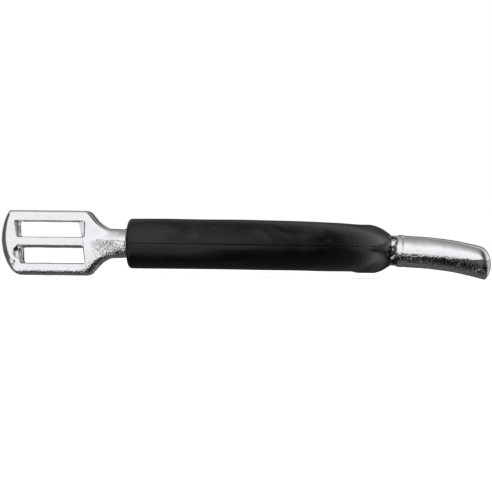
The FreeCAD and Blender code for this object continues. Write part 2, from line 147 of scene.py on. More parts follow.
# %% Lay the first net of points and faces
def first_net(formula, low, high, step):
    """One point for each cell that the surface crosses, and faces between them."""
    low = np.array(low, float)
    count = np.ceil((np.array(high) - low) / step).astype(int) + 1
    grid = np.meshgrid(*[low[a] + step * np.arange(count[a]) for a in range(3)], indexing="ij")
    depth = formula(*grid)
    total = np.zeros((*(count - 1), 3))
    hits = np.zeros(count - 1)
    rings = []
    for axis in range(3):
        depths = np.moveaxis(depth, axis, 0)
        near, far = np.moveaxis(depths[:-1], 0, axis), np.moveaxis(depths[1:], 0, axis)
        place = np.argwhere((near < 0) != (far < 0))
        before, after = near[tuple(place.T)], far[tuple(place.T)]
        crossing = low + step * place
        crossing[:, axis] += step * before / (before - after)
        u, v = (axis + 1) % 3, (axis + 2) % 3
        corners = []
        for du, dv in ((-1, -1), (0, -1), (0, 0), (-1, 0)):
            cell = place.copy()
            cell[:, u] += du
            cell[:, v] += dv
            corners.append(cell)
            np.add.at(total, tuple(cell.T), crossing)
            np.add.at(hits, tuple(cell.T), 1)
        rings.append((corners, before < 0))
    used = hits > 0
    number = np.full(hits.shape, -1)
    number[used] = np.arange(used.sum())
    faces = []
    for corners, leaving in rings:
        quads = np.stack([number[tuple(cell.T)] for cell in corners], 1)
        quads[~leaving] = quads[~leaving][:, ::-1]
        faces.append(quads)
    return total[used] / hits[used][:, None], np.concatenate(faces)


# %% Even the net out, and settle it on the surface
def settle(formula, points, rounds, reach):
    """Slide points down the formula's slope until they lie on the surface."""
    h = 0.004
    for _ in range(rounds):
        here = formula(*points.T)
        slope = np.empty_like(points)
        for axis in range(3):
            shift = np.zeros(3)
            shift[axis] = h
            slope[:, axis] = (formula(*(points + shift).T) - formula(*(points - shift).T)) / (2 * h)
        size = np.maximum((slope ** 2).sum(1), 0.05)
        move = -(here / size)[:, None] * slope
        length = np.linalg.norm(move, axis=1, keepdims=True)
        points = points + move * np.minimum(1, reach / np.maximum(length, 1e-9))
    return points


def even_out(points, faces, share):
    """Move each point part of the way to the middle of its neighbours."""
    edges = np.concatenate([faces[:, [k, (k + 1) % 4]] for k in range(4)])
    total = np.zeros_like(points)
    for axis in range(3):
        total[:, axis] = np.bincount(edges[:, 0], points[edges[:, 1], axis], len(points))
        total[:, axis] += np.bincount(edges[:, 1], points[edges[:, 0], axis], len(points))
    hits = np.bincount(edges.ravel(), minlength=len(points))
    return points + share * (total / hits[:, None] - points)


def skin_over(formula, low, high, step):
    """The whole skin of a formula inside a box, with cells of one step."""
    points, faces = first_net(formula, low, high, step)
    points = settle(formula, points, 2, step / 2)
    for _ in range(4):
        points = even_out(points, faces, 0.5)
        points = settle(formula, points, 1, step / 2)
    points = settle(formula, points, 2, step / 2)
    print(f"  net of {len(points)} points and {len(faces)} faces")
    return points, faces


# %% Turn points and faces into a Blender object
def make_piece(name, points, faces, material):
    """Make a smooth-shaded mesh from points in millimetres."""
    mesh = bpy.data.meshes.new(name)
    mesh.from_pydata((points * MM).tolist(), [], faces.tolist())
    bm = bmesh.new()
    bm.from_mesh(mesh)
    bmesh.ops.recalc_face_normals(bm, faces=bm.faces)
    open_edges = sum(1 for edge in bm.edges if not edge.is_manifold)
    volume = bm.calc_volume(signed=True) / MM ** 3
    bm.to_mesh(mesh)
    bm.free()
    mesh.shade_smooth()
    mesh.materials.append(material)
    piece = bpy.data.objects.new(name, mesh)
    bpy.context.scene.collection.objects.link(piece)
    print(f"  {name}: {len(mesh.polygons)} faces, {open_edges} open edges, {volume:.0f} mm3")
    return piece


# %% [markdown]
# ## Helpers for the finishes
#
# Every finish is a small tree of nodes around one shader. Short helpers keep the trees
# readable: they add a node and join it up, make a noise of a given grain in
# millimetres, turn a grey value into another range, blend two colours, and stack bumps.
# The patterns use object coordinates in metres, so a grain of 0.5 mm is really 0.5 mm
# on the piece.

# %% Node helpers
def new_finish(name):
    """A new material with one shader: gives it, its tree, its shader and the coordinates."""
    material = bpy.data.materials.new(name)
    material.use_nodes = True
    tree = material.node_tree
    tree.nodes.clear()
    shader = tree.nodes.new("ShaderNodeBsdfPrincipled")
    output = tree.nodes.new("ShaderNodeOutputMaterial")
    tree.links.new(shader.outputs["BSDF"], output.inputs["Surface"])
    where = tree.nodes.new("ShaderNodeTexCoord").outputs["Object"]
    return material, tree, shader, where


def node(tree, kind, values=(), **links):
    """Add a node, set its properties, and join or set its inputs by name, or by number as i0, i1."""
    made = tree.nodes.new(kind)
    for key, value in dict(values).items():
        setattr(made, key, value)
    for key, value in links.items():
        socket = made.inputs[int(key[1:])] if key[0] == "i" and key[1:].isdigit() else made.inputs[key]
        if isinstance(value, bpy.types.NodeSocket):
            tree.links.new(value, socket)
        else:
            socket.default_value = value
    return made


def stretched(tree, where, scale, turn=(0, 0, 0)):
    """The coordinates scaled and turned, which draws a pattern out."""
    made = node(tree, "ShaderNodeMapping", Vector=where)
    made.inputs["Scale"].default_value = scale
    made.inputs["Rotation"].default_value = turn
    return made.outputs["Vector"]


# %% Helpers for patterns and their ranges
def noise(tree, where, grain_mm, detail=3.0, rough=0.5, twist=0.0):
    """A soft noise with its grain in millimetres."""
    made = node(tree, "ShaderNodeTexNoise", Vector=where, Scale=1.0 / (grain_mm * MM), Detail=detail)
    made.inputs["Roughness"].default_value = rough
    made.inputs["Distortion"].default_value = twist
    return made.outputs["Fac"]


def ranged(tree, value, low, high, new_low, new_high, smooth=True):
    """Turn a value from one range into another, and hold it at the ends."""
    made = node(tree, "ShaderNodeMapRange", {"clamp": True}, Value=value)
    made.interpolation_type = "SMOOTHSTEP" if smooth else "LINEAR"
    for key, number in zip(("From Min", "From Max", "To Min", "To Max"), (low, high, new_low, new_high)):
        made.inputs[key].default_value = number
    return made.outputs["Result"]


def ranged_mm(tree, place, low_mm, high_mm, new_low, new_high, smooth=True):
    """The same for a place or a depth, with its range in millimetres."""
    return ranged(tree, place, low_mm * MM, high_mm * MM, new_low, new_high, smooth)


def sums(tree, how, a, b, clamp=False):
    """Work out one sum of two values."""
    return node(tree, "ShaderNodeMath", {"operation": how, "use_clamp": clamp}, i0=a, i1=b).outputs[0]


def blend_colour(tree, share, a, b):
    """Mix two colours: all of the first at share 0, all of the second at share 1."""
    made = node(tree, "ShaderNodeMix", {"data_type": "RGBA"})
    for socket, value in ((made.inputs[0], share), (made.inputs[6], a), (made.inputs[7], b)):
        if isinstance(value, bpy.types.NodeSocket):
            tree.links.new(value, socket)
        else:
            socket.default_value = value
    return made.outputs[2]


def bump(tree, height, depth_mm, strength, under=None):
    """Raise the surface by a height, on top of the bump under it."""
    made = node(tree, "ShaderNodeBump", Height=height, Strength=strength, Distance=depth_mm * MM)
    if under is not None:
        tree.links.new(under, made.inputs["Normal"])
    return made.outputs["Normal"]


# %% [markdown]
# ## Bright plated steel
#
# The strap ends and the neck are cast or forged steel, ground, buffed and plated. Up
# close the plating isn't a perfect mirror: it keeps the soft ripple of the buffing, a
# fine orange-peel texture where the tool couldn't reach, a few pits, and hair-fine
# scratches from boots and stable floors. So the finish lives mostly in its bumps and
# its roughness, and first it has to know where the buffing stopped: at a wandering
# line, high on the arms and lower on the neck.

# %% Where the buffing stops
ROOT_BUFFED, END_BUFFED, ARM_BUFFED = 6.15, 5.0, 9.0

bright_steel, tree, shader, where = new_finish("bright_steel")
shader.inputs["Metallic"].default_value = 1.0
spot = node(tree, "ShaderNodeSeparateXYZ", Vector=where)
rearward, upward = spot.outputs["X"], spot.outputs["Z"]
buffed_to = ranged_mm(tree, rearward, 38.0, 61.5, ROOT_BUFFED * MM, END_BUFFED * MM, False)
higher_on_arms = ranged_mm(tree, rearward, 0.0, 10.0, (ARM_BUFFED - ROOT_BUFFED) * MM, 0.0, False)
buffed_to = sums(tree, "ADD", buffed_to, higher_on_arms)
wander = ranged(tree, noise(tree, where, 2.2, 4.0, 0.7), 0.3, 0.7, -0.45 * MM, 0.45 * MM, False)
under = sums(tree, "SUBTRACT", sums(tree, "ADD", buffed_to, wander), upward)
rough_side = ranged_mm(tree, under, -0.10, 0.25, 0.0, 1.0)
print("the buffing reaches down to about", ARM_BUFFED, "mm on the arms")

# %% [markdown]
# Below that line the cast skin was left as it came. On the strap ends it covers the arm
# and the shoulders, but only the low rim of the plate, which was ground flat. On the
# neck a painted dark reflection band lies just under the line, deeper towards the end,
# and the waist beside the rubber is rough and darker in blotches. Places along the spur
# are in millimetres.

# %% Masks for the cast skin, the painted reflection band and the waist
slant = ranged_mm(tree, upward, 1.5, 5.0, 3.5 * MM, 0.0, False)
off_plate = ranged_mm(tree, sums(tree, "ADD", rearward, slant), -40.4, -37.8, 0.03, 1.0)
low_rim = ranged_mm(tree, upward, 0.8, 1.8, 0.8, 0.0)
cast_skin = sums(tree, "MULTIPLY", rough_side, sums(tree, "MAXIMUM", off_plate, low_rim))

on_neck = ranged_mm(tree, rearward, 37.0, 40.0, 0.0, 1.0)
band_deep = ranged_mm(tree, rearward, 42.0, 60.0, 0.35 * MM, 2.5 * MM, False)
band_top = ranged_mm(tree, under, -0.05, 0.15, 0.0, 1.0)
band_foot = ranged_mm(tree, sums(tree, "SUBTRACT", under, band_deep), -0.3, 0.5, 1.0, 0.0)
before_dome = ranged_mm(tree, rearward, 60.6, 62.2, 1.0, 0.35)
# Painted reflection: a dark band in the base colour of the neck, just under the buffing line and deeper
# towards the end, stands in for the dark reflection there.
painted_reflection_band = sums(tree, "MULTIPLY", band_top, band_foot)
painted_reflection_band = sums(tree, "MULTIPLY", painted_reflection_band, sums(tree, "MULTIPLY", on_neck, before_dome))

# The waist beside the rubber is made darker in blotches, almost black, in its base colour.
behind_boss = ranged_mm(tree, rearward, 36.2, 36.6, 0.0, 1.0)
before_ring = ranged_mm(tree, rearward, 38.2, 39.0, 1.0, 0.0)
at_waist = sums(tree, "MULTIPLY", behind_boss, before_ring)
blots = ranged(tree, noise(tree, where, 1.5, 2.0, 0.5, 0.5), 0.43, 0.51, 0.0, 1.0)
waist_dark_blots = sums(tree, "MULTIPLY", at_waist, blots)
print("masks made:", len(tree.nodes), "nodes so far")

# %% [markdown]
# The bumps are stacked from the broadest to the finest: the ripple of the buffing, the
# peel of the cast skin, the lumps of the waist, the edge where the buffing stops, the
# pits, and the scratches. Each row gives a height, its depth in millimetres and its
# strength.

# %% Stack the bumps
peel = sums(tree, "MULTIPLY", noise(tree, where, 0.42, 1.0, 0.5), cast_skin)
peel = sums(tree, "MULTIPLY", peel, ranged(tree, on_neck, 0.0, 1.0, 1.0, 0.6))
waist_lumps = sums(tree, "MULTIPLY", at_waist, noise(tree, where, 1.3, 2.0))
cells = node(tree, "ShaderNodeTexVoronoi", {"feature": "F1"}, Vector=where, Scale=1.0 / (2.3 * MM))
pits = ranged(tree, cells.outputs["Distance"], 0.04, 0.10, 1.0, 0.0)
hairs = noise(tree, stretched(tree, where, (0.35, 5.0, 7.0), turn=(0.2, 0.5, 0.3)), 0.7, 2.0, 0.6)
scratches = ranged(tree, hairs, 0.62, 0.70, 0.0, 1.0)

normal = None
for height, depth_mm, strength in (
        (noise(tree, where, 2.6, 2.0, 0.45), 0.10, 0.18),
        (peel, 0.20, 0.90),
        (waist_lumps, 0.60, 0.80),
        (rough_side, 0.02, 0.50),
        (pits, 0.05, 0.45),
        (scratches, 0.01, 0.25)):
    normal = bump(tree, height, depth_mm, strength, normal)
tree.links.new(normal, shader.inputs["Normal"])

# %% Gloss and colour of the steel
haze = ranged(tree, noise(tree, where, 3.4, 4.0, 0.6), 0.38, 0.68, 0.08, 0.18)
worn = sums(tree, "ADD", sums(tree, "MULTIPLY", scratches, 0.06), sums(tree, "MULTIPLY", cast_skin, 0.05))
tree.links.new(sums(tree, "ADD", haze, worn, True), shader.inputs["Roughness"])

tarnish = ranged(tree, noise(tree, where, 1.7, 5.0, 0.65), 0.52, 0.74, 0.0, 0.4)
specks = ranged(tree, noise(tree, where, 0.34, 1.0, 0.5), 0.50, 0.62, 0.0, 1.0)
specks = sums(tree, "MULTIPLY", specks, cast_skin)
metal = blend_colour(tree, tarnish, (0.91, 0.915, 0.93, 1), (0.68, 0.67, 0.67, 1))
# The dark band on the neck in this stack is a painted dark reflection, not a colour of the metal.
for mask, most, colour in (
        (specks, 0.55, (0.16, 0.155, 0.16, 1)),
        (painted_reflection_band, 0.86, (0.04, 0.04, 0.042, 1)),
        # darker in blotches at the recessed waist beside the rubber
        (waist_dark_blots, 0.93, (0.008, 0.009, 0.01, 1))):
    metal = blend_colour(tree, sums(tree, "MULTIPLY", mask, most), metal, colour)
tree.links.new(metal, shader.inputs["Base Color"])
print("bright steel nodes:", len(tree.nodes))

# %% [markdown]
# ## Black rubber
#
# The cover is moulded rubber. Rubber takes a dusty bloom where it is handled, has a
# very fine grain from the mould, and dulls in patches, so its grey moves slowly along
# the tube. The bloom is lightened into the base colour on the upper half only, so it is
# partly dust and partly a painted sheen. The base stays close to black: most of what the
# eye reads as grey is the broad soft sheen on a rough surface.

# %% Make the black rubber finish
black_rubber, tree, shader, where = new_finish("black_rubber")
shader.inputs["Specular IOR Level"].default_value = 0.32

cloud = noise(tree, stretched(tree, where, (0.6, 1.0, 1.0)), 7.0, 5.0, 0.62, 0.7)
bloom = ranged(tree, cloud, 0.43, 0.65, 0.0, 1.0)
streaks = noise(tree, stretched(tree, where, (0.22, 1.0, 1.6), turn=(0, 0.6, 0)), 1.5, 3.0, 0.6)
rubbed = ranged(tree, streaks, 0.58, 0.75, 0.0, 0.55)
# The bloom and rubbed streaks lighten the base colour only on the upper half of the tube: partly dust, partly
# a painted sheen where light falls from above.
height = node(tree, "ShaderNodeSeparateXYZ", Vector=where).outputs["Z"]
upper = ranged_mm(tree, height, MID_HIGH - 2.5, MID_HIGH + 2.5, 0.0, 1.0)
dust_and_painted_sheen = sums(tree, "MULTIPLY", sums(tree, "ADD", bloom, rubbed, True), upper)
tree.links.new(blend_colour(tree, dust_and_painted_sheen, (0.0020, 0.0023, 0.0025, 1), (0.0125, 0.0140, 0.0144, 1)),
               shader.inputs["Base Color"])
tree.links.new(ranged(tree, cloud, 0.35, 0.65, 0.22, 0.37), shader.inputs["Roughness"])
lumps = noise(tree, stretched(tree, where, (0.45, 1.0, 1.0)), 4.5, 2.0, 0.5)
grain = noise(tree, where, 0.16, 2.0, 0.5)
normal = bump(tree, lumps, 0.25, 0.10)
normal = bump(tree, grain, 0.02, 0.30, normal)
tree.links.new(normal, shader.inputs["Normal"])
print("black rubber nodes:", len(tree.nodes))

# %% [markdown]
# ## Plain brushed steel for the hidden band
#
# The band under the rubber is the bare core of the spur. It never shows, but it is part
# of the object, so it gets a simple brushed finish: fine lines round the bar and
# a slightly uneven grey.

# %% Make the band finish and give it to the carried-over node
band_steel, tree, shader, where = new_finish("band_steel")
shader.inputs["Metallic"].default_value = 1.0
lines = noise(tree, stretched(tree, where, (6.0, 6.0, 0.6)), 0.9, 3.0, 0.6)
tree.links.new(ranged(tree, lines, 0.3, 0.7, 0.30, 0.48), shader.inputs["Roughness"])
tree.links.new(blend_colour(tree, lines, (0.42, 0.42, 0.42, 1), (0.60, 0.60, 0.59, 1)),
               shader.inputs["Base Color"])
tree.links.new(bump(tree, lines, 0.02, 0.3), shader.inputs["Normal"])
heel_band = frame["nodes"]["heel_band"]
heel_band.data.materials.clear()
heel_band.data.materials.append(band_steel)
print("band finish on:", heel_band.name)

# %% [markdown]
# ## The slotted strap ends
#
# A strap end is a flat plate with two long slots for the spur strap, joined to a round
# arm. Seen from the side its tip is bowed, flatter above than below, its top corner is
# tight and its low corner is generous, and both shoulders sweep into the arm. The plate
# is drawn first as a flat outline of straight runs and arcs, in millimetres back from
# the tip and up from the ground.

# %% Draw the plate's outline
PLATE_HIGH = 2 * MID_HIGH
PLATE_HALF = 2.3
TIP_RADIUS, TOP_TIP_RADIUS, TIP_MIDDLE = 12.5, 15.0, 8.9
LOW_SHOULDER_RUN, TOP_SHOULDER_RUN = 22.0, 21.5
SHOULDER_RADIUS, SHOULDER_SLOPE = 1.9, math.radians(49)
TOP_CORNER, LOW_CORNER = 1.2, 4.2
FLARE_RADIUS, FLARE_DROP = 8.0, MID_HIGH - BAR_RADIUS + 0.03


def arc(middle, radius, start, finish, count):
    """Points along an arc, angles in degrees anticlockwise from straight back."""
    turns = np.radians(np.linspace(start, finish, count))
    return [(middle[0] + radius * math.cos(a), middle[1] + radius * math.sin(a)) for a in turns]


def tip_corner(level, radius, inward, bow):
    """The middle of a plate corner, and where it touches the bowed tip."""
    z = level + inward * radius
    x = bow - math.sqrt((bow - radius) ** 2 - (z - TIP_MIDDLE) ** 2)
    return (x, z), math.degrees(math.atan2(z - TIP_MIDDLE, x - bow)) % 360


def shoulder(run):
    """The lower shoulder, from the plate's edge into the arm, starting at a run from the tip."""
    slope = math.degrees(SHOULDER_SLOPE)
    points = arc((run, SHOULDER_RADIUS), SHOULDER_RADIUS, -90, slope - 90, 10)
    rise = FLARE_DROP - points[-1][1] - FLARE_RADIUS * (1 - math.cos(SHOULDER_SLOPE))
    start = (points[-1][0] + rise / math.tan(SHOULDER_SLOPE), points[-1][1] + rise)
    middle = (start[0] + FLARE_RADIUS * math.sin(SHOULDER_SLOPE), FLARE_DROP - FLARE_RADIUS)
    return points + arc(middle, FLARE_RADIUS, 90 + slope, 90, 14)


low_middle, low_turn = tip_corner(0.0, LOW_CORNER, 1, TIP_RADIUS)
top_middle, top_turn = tip_corner(PLATE_HIGH, TOP_CORNER, -1, TOP_TIP_RADIUS)
outline = shoulder(LOW_SHOULDER_RUN)
outline += [(x, PLATE_HIGH - z) for x, z in reversed(shoulder(TOP_SHOULDER_RUN))]
outline += arc(top_middle, TOP_CORNER, 90, top_turn, 12)
outline += arc((TOP_TIP_RADIUS, TIP_MIDDLE), TOP_TIP_RADIUS, top_turn, 180, 14)[1:]
outline += arc((TIP_RADIUS, TIP_MIDDLE), TIP_RADIUS, 180, low_turn, 14)[1:]
outline += arc(low_middle, LOW_CORNER, low_turn, 270, 16)[1:]
PLATE_OUTLINE = np.array(outline)
print("outline points:", len(PLATE_OUTLINE))
print("outline box, mm:", PLATE_OUTLINE.min(0).round(2), PLATE_OUTLINE.max(0).round(2))

# %% [markdown]
# The distance to the outline is found edge by edge. A point is inside when a line from
# it crosses the outline an odd number of times, and then its distance counts as
# negative.

# %% Distance from any point to the outline
def outline_gap(x, z, outline):
    """Distance to a closed outline, negative inside it."""
    nearest = np.full(x.shape, 1e9)
    inside = np.zeros(x.shape, bool)
    for (ax, az), (bx, bz) in zip(outline, np.roll(outline, -1, 0)):
        ex, ez = bx - ax, bz - az
        share = np.clip(((x - ax) * ex + (z - az) * ez) / (ex * ex + ez * ez), 0, 1)
        nearest = np.minimum(nearest, (x - ax - share * ex) ** 2 + (z - az - share * ez) ** 2)
        if ez != 0:
            inside ^= ((az > z) != (bz > z)) & (x < ex * (z - az) / ez + ax)
    return np.sqrt(nearest) * np.where(inside, -1, 1)


# %% [markdown]
# The slots are cast with drafted walls, so that the core pulls out: the opening on the
# outer face is a little larger than on the inner face, most of all at the rear end of
# the upper slot and along the top of the lower one. Each slot is given by its four
# corners on both faces, and the walls run straight between them.

# %% Distance into a drafted slot
SLOT_CORNER = 0.45
UPPER_SLOT = {"outer": [(4.32, 9.72), (21.55, 9.72), (21.62, 13.86), (3.62, 13.86)],
              "inner": [(4.20, 9.78), (20.30, 9.78), (19.35, 13.62), (3.90, 13.62)]}
LOWER_SLOT = {"outer": [(5.25, 3.00), (21.85, 3.00), (21.20, 7.60), (4.30, 7.60)],
              "inner": [(5.05, 3.12), (21.75, 3.12), (21.05, 6.98), (4.80, 6.98)]}


def slot_gap(x, y, z, slot):
    """Distance into a slot, negative in the opening."""
    outer, inner = np.array(slot["outer"]), np.array(slot["inner"])
    share = np.clip((y + PLATE_HALF) / (2 * PLATE_HALF), -0.2, 1.2)
    gap = None
    for k in range(4):
        (ox, oz), (px, pz) = outer[k], outer[(k + 1) % 4]
        (ix, iz), (jx, jz) = inner[k], inner[(k + 1) % 4]
        ax, az = ix + (ox - ix) * share, iz + (oz - iz) * share
        ex, ez = jx + (px - jx) * share - ax, jz + (pz - jz) * share - az
        side = ((x - ax) * ez - (z - az) * ex) / np.hypot(ex, ez)
        gap = side if gap is None else soft_most(gap, side, SLOT_CORNER)
    return gap


# %% [markdown]
# Now the parts of the strap end are put together: the plate, with edges that are rounder
# below and at the tip than above, the arm with its cone and its slight swelling before
# the rubber, the slots with a small edge round, a shallow scoop where the lower slot
# was dressed by hand, one casting pit, and a slow ripple that buffing leaves.

# %% The measures of the arm and the hollows
JOINT_RUN, TENON_RUN, TENON_RADIUS = 38.4, 46.4, 1.75
NOSE_RUN, NOSE_RADIUS, CONE_END = 22.0, 1.9, 30.0
ARM_SWELL, SWELL_END, SWELL_FADE = 0.33, 33.4, 1.2
PLATE_FILLET, SLOT_EDGE = 1.0, 0.26
TENON_START, TENON_ROUND, RIPPLE_DEEP = 30.0, 0.3, 0.022
SCOOP = ((5.0, 4.35, 5.7), 2.75, 0.25)
PIT = ((3.1, 2.92, 3.5), 0.9, 0.15)
print("arm swells to", BAR_RADIUS + ARM_SWELL, "mm radius before the rubber")


def ripple_of(x, y, z, size):
    """Slow unevenness, a few hundredths of a millimetre deep."""
    waves = np.sin(0.83 * x + 0.4 * z + 1.1) * np.sin(0.71 * z + 0.5 * y + 0.3)
    waves += 0.6 * np.sin(1.53 * x - 0.9 * z + 2.0) * np.sin(1.21 * z + 0.9 * x)
    return size * waves


def plate_gap(x, y, z):
    """The flat plate, with edges rounded more below and at the tip."""
    rounding = np.interp(z, (2, 8, 14), (2.1, 1.5, 0.9)) + 0.6 * np.clip((3.4 - x) / 3, 0, 1)
    rounding = np.minimum(rounding, PLATE_HALF - 0.1)
    return round_corner(outline_gap(x, z, PLATE_OUTLINE), np.abs(y) - PLATE_HALF, rounding)


def arm_gap(x, y, z):
    """The round arm, from its nose inside the plate to the joint."""
    grown = np.clip((x - NOSE_RUN) / (CONE_END - NOSE_RUN), 0, 1)
    arm_radius = NOSE_RADIUS + (BAR_RADIUS - NOSE_RADIUS) * grown * grown * (3 - 2 * grown)
    arm_radius = arm_radius + ARM_SWELL * grown * np.clip((SWELL_END - x) / SWELL_FADE, 0, 1)
    return np.maximum(np.hypot(y, z - MID_HIGH) - arm_radius, np.maximum(NOSE_RUN - x, x - JOINT_RUN))


# %% The whole strap end as one formula
def strap_end_gap(x, y, z):
    """Distance outside the strap end: x back from the tip, y outward, z up."""
    body = soft_least(plate_gap(x, y, z), arm_gap(x, y, z), PLATE_FILLET)
    tenon = round_corner(np.hypot(y, z - MID_HIGH) - TENON_RADIUS, x - TENON_RUN, TENON_ROUND)
    body = np.minimum(body, np.maximum(tenon, TENON_START - x))
    for slot in (UPPER_SLOT, LOWER_SLOT):
        body = soft_most(body, -slot_gap(x, y, z, slot), SLOT_EDGE)
    for (at_x, at_y, at_z), radius, edge in (SCOOP, PIT):
        ball = np.sqrt((x - at_x) ** 2 + (y - at_y) ** 2 + (z - at_z) ** 2) - radius
        body = soft_most(body, -ball, edge)
    fade = np.clip((JOINT_RUN - 6 - x) / 4, 0, 1)
    return body + fade * ripple_of(x, y, z, RIPPLE_DEEP)


bridge_deep = strap_end_gap(*np.array([[12.0], [0.0], [8.6]]))[0]
print(f"the middle of the bridge is {-bridge_deep:.2f} mm deep in the metal")

# %% Skin the strap end and place it on both sides
STEP = 0.20
STRAP_END_SPACE = ((-0.6, -4.2, -0.7), (47.2, 4.2, 17.2))
local, faces = skin_over(strap_end_gap, *STRAP_END_SPACE, STEP)
left_points = TIP + local[:, :1] * ALONG + local[:, 1:2] * OUTWARD
left_points[:, 2] += local[:, 2]
strap_end_left = make_piece("strap_end_left_bright", left_points, faces, bright_steel)
right_points = left_points * np.array([1, -1, 1])
strap_end_right = make_piece("strap_end_right_bright", right_points, faces, bright_steel)

# %% [markdown]
# ## The drooping neck
#
# The neck is a round bar that leaves the back of the band, bends gently down, and ends
# blunt: the end is a low dome with a soft rim. A thinner waist sits inside the rubber,
# and a small shoulder shows where the cover stops. A path down the middle gives the
# bend, and the distance to that path gives the bar.

# %% Path of the neck
NECK_RADIUS = MOUNTS["neck_end"]["dims"]["r_mm"]
WAIST_RADIUS, WAIST_END = 3.85, 7.85
ROOT_DROP, ROOT_SLOPE = 0.69, math.radians(3.5)
END_SLOPE = math.asin(-MOUNTS["neck_end"]["axis"][2])
NECK_STRAIGHT, DROOP_RADIUS, END_STRAIGHT = 14.5, 74.0, 8.5


def step_along(place, slope, length):
    """The place a length further on, going down at a slope."""
    return place + length * np.array([math.cos(slope), -math.sin(slope)])


path = [np.array([CROWN_X, MID_HIGH - ROOT_DROP])]
path.append(step_along(path[-1], ROOT_SLOPE, NECK_STRAIGHT))
turning = np.linspace(ROOT_SLOPE, END_SLOPE, 40)
for a, b in zip(turning[:-1], turning[1:]):
    path.append(path[-1] + DROOP_RADIUS * np.array([math.sin(b) - math.sin(a), math.cos(b) - math.cos(a)]))
path.append(step_along(path[-1], END_SLOPE, END_STRAIGHT))
NECK_PATH = np.array(path)
print("neck path ends at", NECK_PATH[-1].round(2), "after", len(NECK_PATH), "points")


# %% Distance from the path, the dome and the bar
DOME_RADIUS, DOME_REACH = 6.0, 3.0
TENON_REACH, NECK_TENON_RADIUS = 5, 2.0
BAR_EDGE, DOME_EDGE, WAIST_FILLET, NECK_RIPPLE = 0.45, 0.6, 0.7, 0.016
DOME_X, DOME_Z = CROWN_X + 25.85, MID_HIGH - 4.45


def path_gap(x, y, z):
    """Distance from the neck's axis; the section is a little egg-shaped towards the end."""
    nearest = np.full(x.shape, 1e9)
    for (ax, az), (bx, bz) in zip(NECK_PATH[:-1], NECK_PATH[1:]):
        ex, ez = bx - ax, bz - az
        share = np.clip(((x - ax) * ex + (z - az) * ez) / (ex * ex + ez * ez), 0, 1)
        nearest = np.minimum(nearest, (x - ax - share * ex) ** 2 + (z - az - share * ez) ** 2)
    height = np.sign(z - np.interp(x, NECK_PATH[:, 0], NECK_PATH[:, 1])) * np.sqrt(nearest)
    along = np.clip((x - CROWN_X - 14) / 14, 0, 1)
    egg = 0.06 + 0.15 * along * along * (3 - 2 * along)
    width = 1 + egg * np.clip(height / NECK_RADIUS, -1.2, 1.2)
    return np.sqrt(nearest + (y / width) ** 2)


def neck_gap(x, y, z):
    """Distance outside the neck: bar, dome, waist, seat on the band, and tenon."""
    across = (x - CROWN_X) * math.cos(ROOT_SLOPE) + (MID_HIGH - ROOT_DROP - z) * math.sin(ROOT_SLOPE)
    bar = round_corner(path_gap(x, y, z) - NECK_RADIUS, WAIST_END - across, BAR_EDGE)
    dome = np.sqrt((x - DOME_X) ** 2 + y ** 2 + (z - DOME_Z) ** 2) - DOME_RADIUS
    dome = np.where(x < DOME_X + 1.0, -DOME_REACH, np.maximum(dome, -DOME_REACH))
    bar = soft_most(bar, dome, DOME_EDGE)
    bar = bar + ripple_of(x, y, z, NECK_RIPPLE)
    waist = np.maximum(path_gap(x, y, z) - WAIST_RADIUS, np.maximum(CROWN_X - x, across - WAIST_END - 0.8))
    body = soft_least(bar, waist, WAIST_FILLET)
    ring = np.hypot(np.hypot(x - BOW_X, y) - BOW_RADIUS, z - MID_HIGH) - BAR_RADIUS
    body = np.maximum(body, -ring)
    tenon = np.maximum(np.hypot(y, z - MID_HIGH) - NECK_TENON_RADIUS, x - CROWN_X - TENON_REACH)
    tenon = np.maximum(tenon, np.minimum(ring, CROWN_X - x))
    return np.minimum(body, np.maximum(tenon, CROWN_X - 6 - x))


# %% Skin the neck
NECK_SPACE = ((CROWN_X - 4.5, -4.6, -0.6), (CROWN_X + 32.6, 4.6, 12.4))
points, faces = skin_over(neck_gap, *NECK_SPACE, STEP)
neck = make_piece("neck_bright", points, faces, bright_steel)
print("neck box, mm:", points.min(0).round(2), points.max(0).round(2))

# %% [markdown]
# ## The rubber cover
#
# The cover is a thick tube, moulded over the band: round mouths with soft lips at the
# front, a fine raised line where the two halves of the mould met, and a boss round the
# neck. It is a loft: rings of points set square to the bent line of the bar. The rings
# are close together, and each ring has extra points at the mould line so that the thin
# bead and the groove under it are real geometry.

# %% The bent line that the cover follows
ARM_COVERED = 17.5
LIP = 1.0


def bow_line(run):
    """Place, and direction to the rear of the left arm, at a run in mm from the crown; left is negative."""
    quarter = math.pi / 2 + TOE_ANGLE
    reach = BOW_RADIUS * quarter
    turn = np.clip(run / BOW_RADIUS, -quarter, quarter)
    extra = np.sign(run) * np.maximum(np.abs(run) - reach, 0)
    ahead = np.stack([-np.sin(turn), np.cos(turn), 0 * turn], -1)
    place = np.stack([BOW_X + BOW_RADIUS * np.cos(turn), BOW_RADIUS * np.sin(turn), MID_HIGH + 0 * turn], -1)
    return place + ahead * extra[..., None], ahead


HALF_RUN = BOW_RADIUS * (math.pi / 2 + TOE_ANGLE) + ARM_COVERED
print(f"cover runs {2 * HALF_RUN:.1f} mm round the heel")


# %% [markdown]
# The skin isn't a plain tube. A thin bead with a groove beside it runs along each side,
# where the mould parted, and fades out near the crown. The top sags towards the crown,
# the underside swells, with a small step where a thicker part of the mould begins, and
# slow lumps a few hundredths of a millimetre high keep the sheen from looking drawn.

# %% The skin of one ring: mould line, crown step and slow lumps
CROWN_STEP_RUN, CROWN_STEP_HIGH = 13.4, 0.34
TOP_SAG, LOW_SWELL = 0.92, 0.28
BEAD_HIGH, BEAD_WIDE = 0.07, 0.016
GROOVE_DEEP, GROOVE_WIDE, GROOVE_OFF = 0.10, 0.020, 0.045


def bead(angle, middle, height, width):
    """A smooth ridge, a height tall in the middle."""
    return height * np.exp(-((angle - middle) / width) ** 2)


